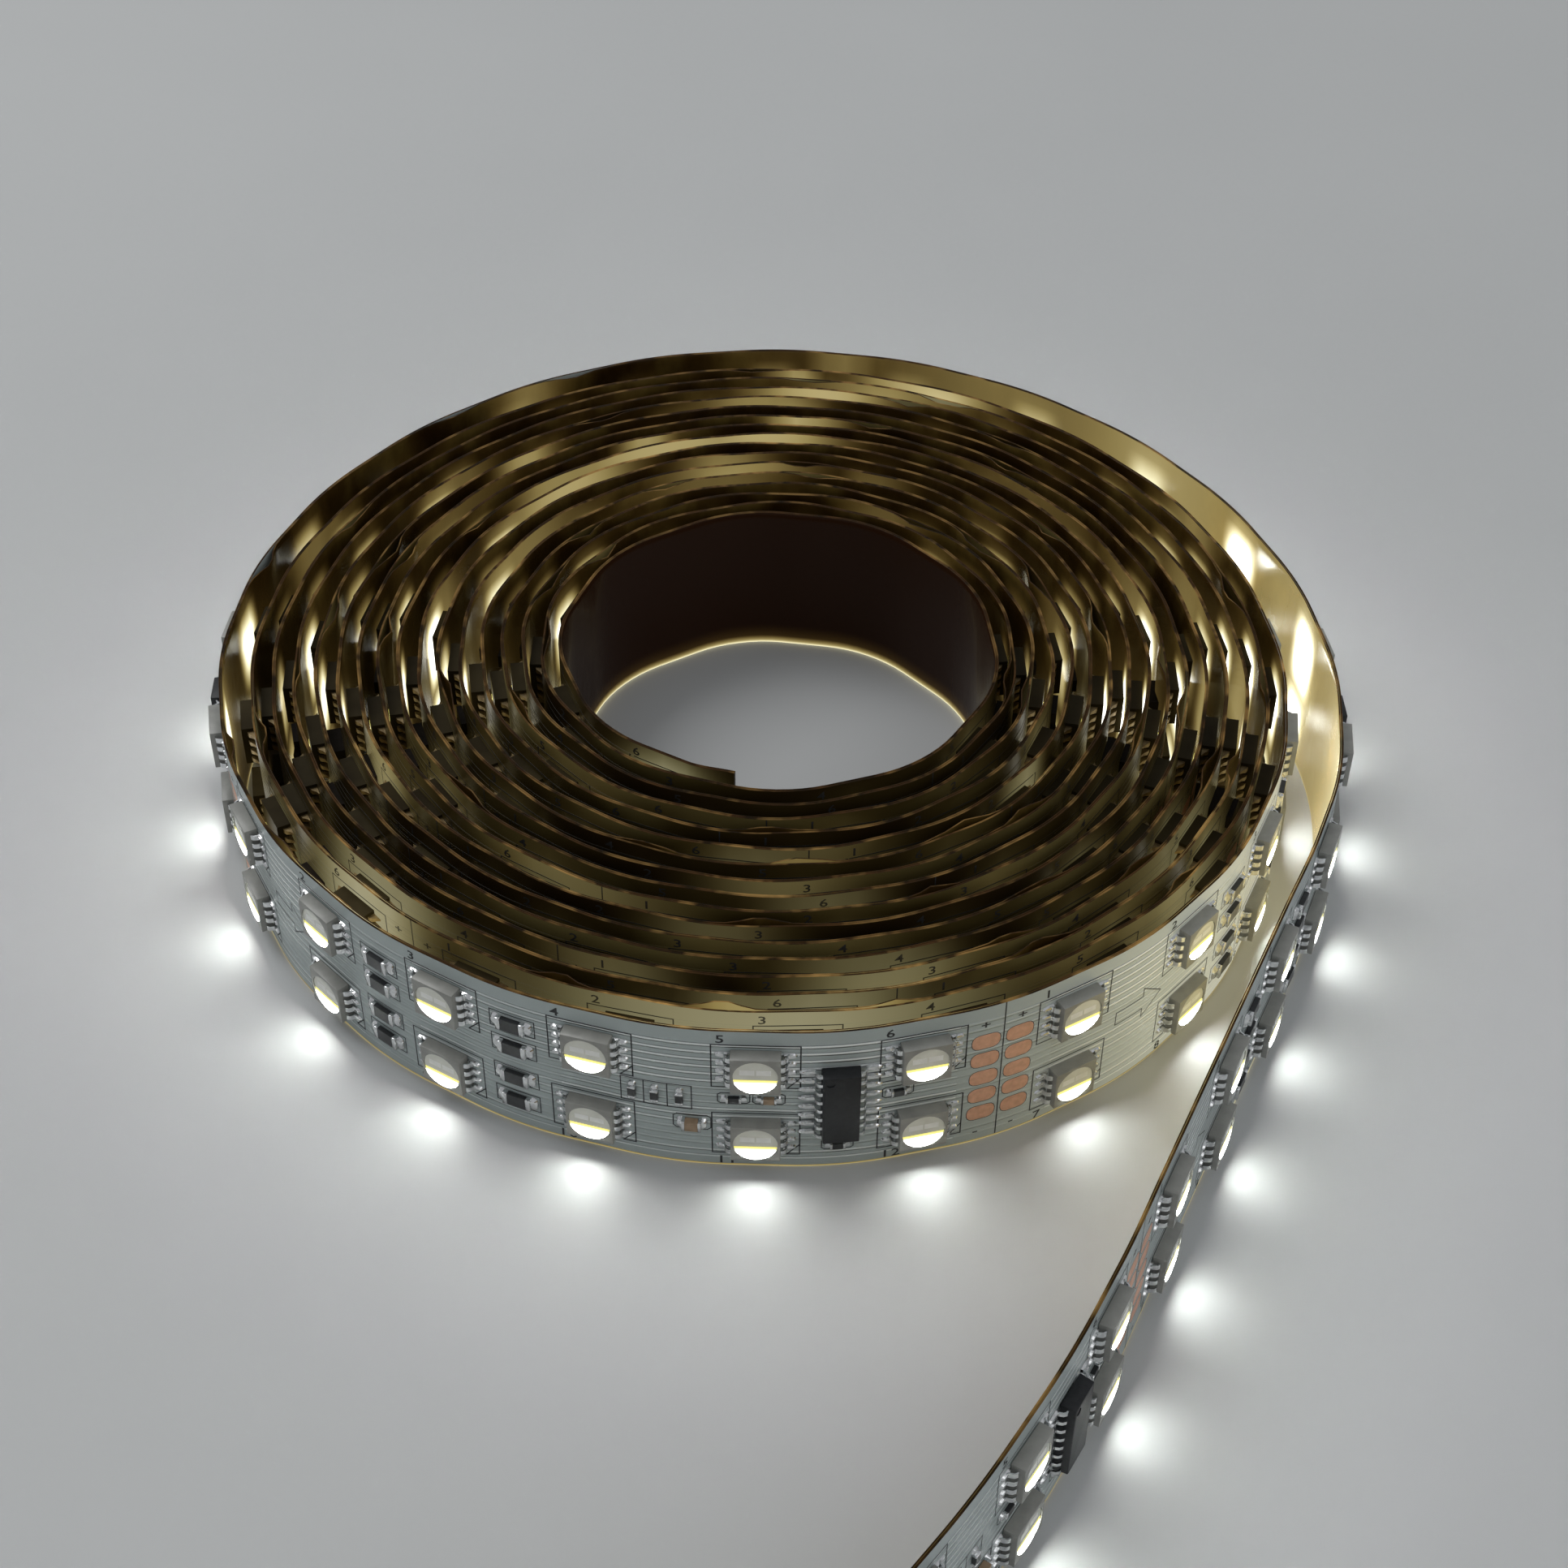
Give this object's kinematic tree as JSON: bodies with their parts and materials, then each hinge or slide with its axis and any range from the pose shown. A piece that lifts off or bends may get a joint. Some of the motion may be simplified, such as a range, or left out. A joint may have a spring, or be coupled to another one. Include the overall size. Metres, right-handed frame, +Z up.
{
  "type": "led strip light reel",
  "caption": "Double-row LED strip light wound in a round coil on its edge, with its outer end unwound; peel-off adhesive back.",
  "frame": {"origin": "under the middle of the whole part, on the surface that the strip's edge stands on", "axes": "+Z up, across the strip's width and along the coil's axis; the coil lies towards +Y and the unwound end runs towards -Y"},
  "size_m": [0.1284, 0.218, 0.02],
  "materials": {
    "solder_mask": "white solder mask, smooth satin",
    "release_liner": "amber translucent release liner, glossy",
    "led_package": "white moulded package",
    "led_window": "clear resin over a pale cup, glossy",
    "phosphor": "yellow phosphor resin, lit",
    "chip_body": "charcoal moulded resin",
    "resistor_body": "black glaze",
    "capacitor_body": "tan ceramic",
    "solder": "bright tin solder",
    "copper": "bare pinkish copper",
    "screen_print": "black printed line"
  },
  "bodies": {
    "root": {"address_resistor_1": "resistor_body", "address_resistor_2": "resistor_body", "address_resistor_3": "resistor_body", "adhesive_tape": "release_liner", "bias_resistor": "resistor_body", "control_chip_1": "chip_body", "control_chip_2": "chip_body", "control_chip_3": "chip_body", "control_chip_4": "chip_body", "control_chip_5": "chip_body", "control_chip_6": "chip_body", "filter_capacitor": "capacitor_body", "flex_circuit": "solder_mask", "foot_resistor": "resistor_body", "led_lower_1": "led_package", "led_lower_10": "led_package", "led_lower_11": "led_package", "led_lower_12": "led_package", "led_lower_2": "led_package", "led_lower_25": "led_package", "led_lower_26": "led_package", "led_lower_27": "led_package", "led_lower_28": "led_package", "led_lower_29": "led_package", "led_lower_3": "led_package", "led_lower_30": "led_package", "led_lower_4": "led_package", "led_lower_5": "led_package", "led_lower_6": "led_package", "led_lower_7": "led_package", "led_lower_8": "led_package", "led_lower_9": "led_package", "led_upper_1": "led_package", "led_upper_10": "led_package", "led_upper_11": "led_package", "led_upper_12": "led_package", "led_upper_2": "led_package", "led_upper_25": "led_package", "led_upper_26": "led_package", "led_upper_27": "led_package", "led_upper_28": "led_package", "led_upper_29": "led_package", "led_upper_3": "led_package", "led_upper_30": "led_package", "led_upper_4": "led_package", "led_upper_5": "led_package", "led_upper_6": "led_package", "led_upper_7": "led_package", "led_upper_8": "led_package", "led_upper_9": "led_package", "output_resistor": "resistor_body", "power_resistor_1": "resistor_body", "power_resistor_2": "resistor_body", "power_resistor_3": "resistor_body", "power_resistor_4": "resistor_body", "power_resistor_5": "resistor_body", "power_resistor_6": "resistor_body", "power_resistor_7": "resistor_body", "power_resistor_8": "resistor_body", "supply_capacitor": "capacitor_body"}
  },
  "joints": []
}
